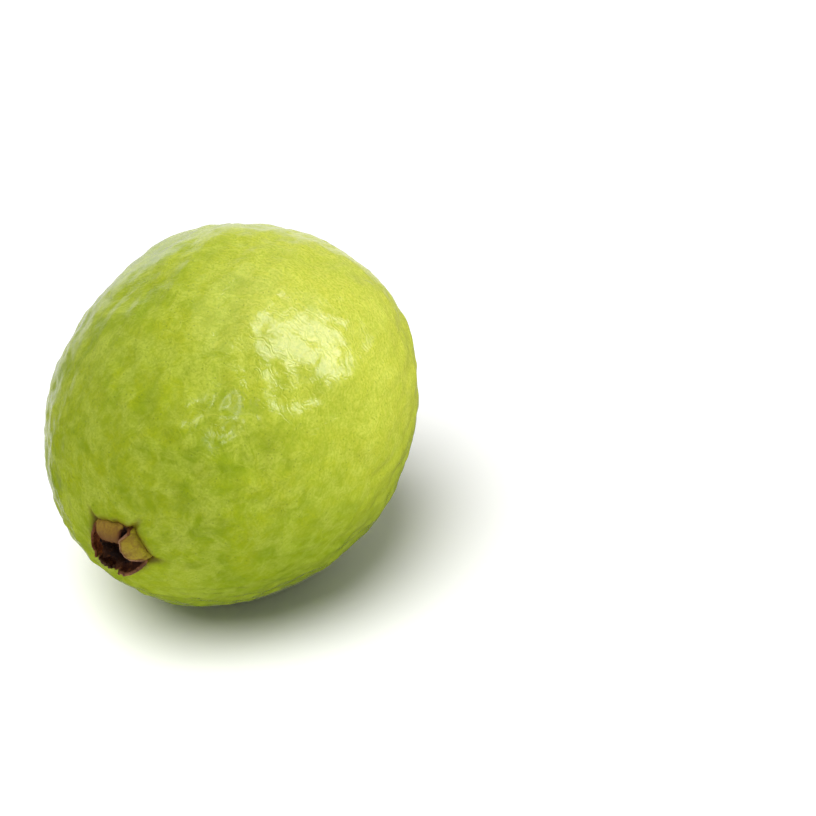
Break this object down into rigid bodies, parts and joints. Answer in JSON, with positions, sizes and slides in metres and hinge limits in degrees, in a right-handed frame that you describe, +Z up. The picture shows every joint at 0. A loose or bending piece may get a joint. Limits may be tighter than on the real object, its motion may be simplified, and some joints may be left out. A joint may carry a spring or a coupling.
{
  "type": "guava",
  "caption": "Whole ripe guava with yellow-green skin, a dried calyx crown at one end and a short cut stem at the other, lying on its side on a small flat spot.",
  "frame": {"origin": "centre of the small flat spot on the fruit's side that it rests on", "axes": "+Z up, -Z out of the flat spot; +Y towards the stem end, -Y towards the calyx end, which dips a little; +X to the fruit's right when looking along +Y"},
  "size_m": [0.0836, 0.1069, 0.084],
  "materials": {
    "guava_skin": "glossy waxy fruit skin, yellow-green, mottled, with fine wrinkles",
    "green_wood": "matt green bark with a brown cut end",
    "dried_calyx_cup": "matt dark brown, dry and rough",
    "dried_sepal": "olive tan turning brown at the edges, dry and leathery",
    "dried_style": "matt dark brown, dry"
  },
  "bodies": {
    "root": {"fruit_body": "guava_skin", "stem_stub": "green_wood", "calyx_cup": "dried_calyx_cup", "sepal_1": "dried_sepal", "sepal_2": "dried_sepal", "sepal_3": "dried_sepal", "sepal_4": "dried_sepal", "sepal_5": "dried_sepal", "style_remnant": "dried_style"}
  },
  "joints": []
}
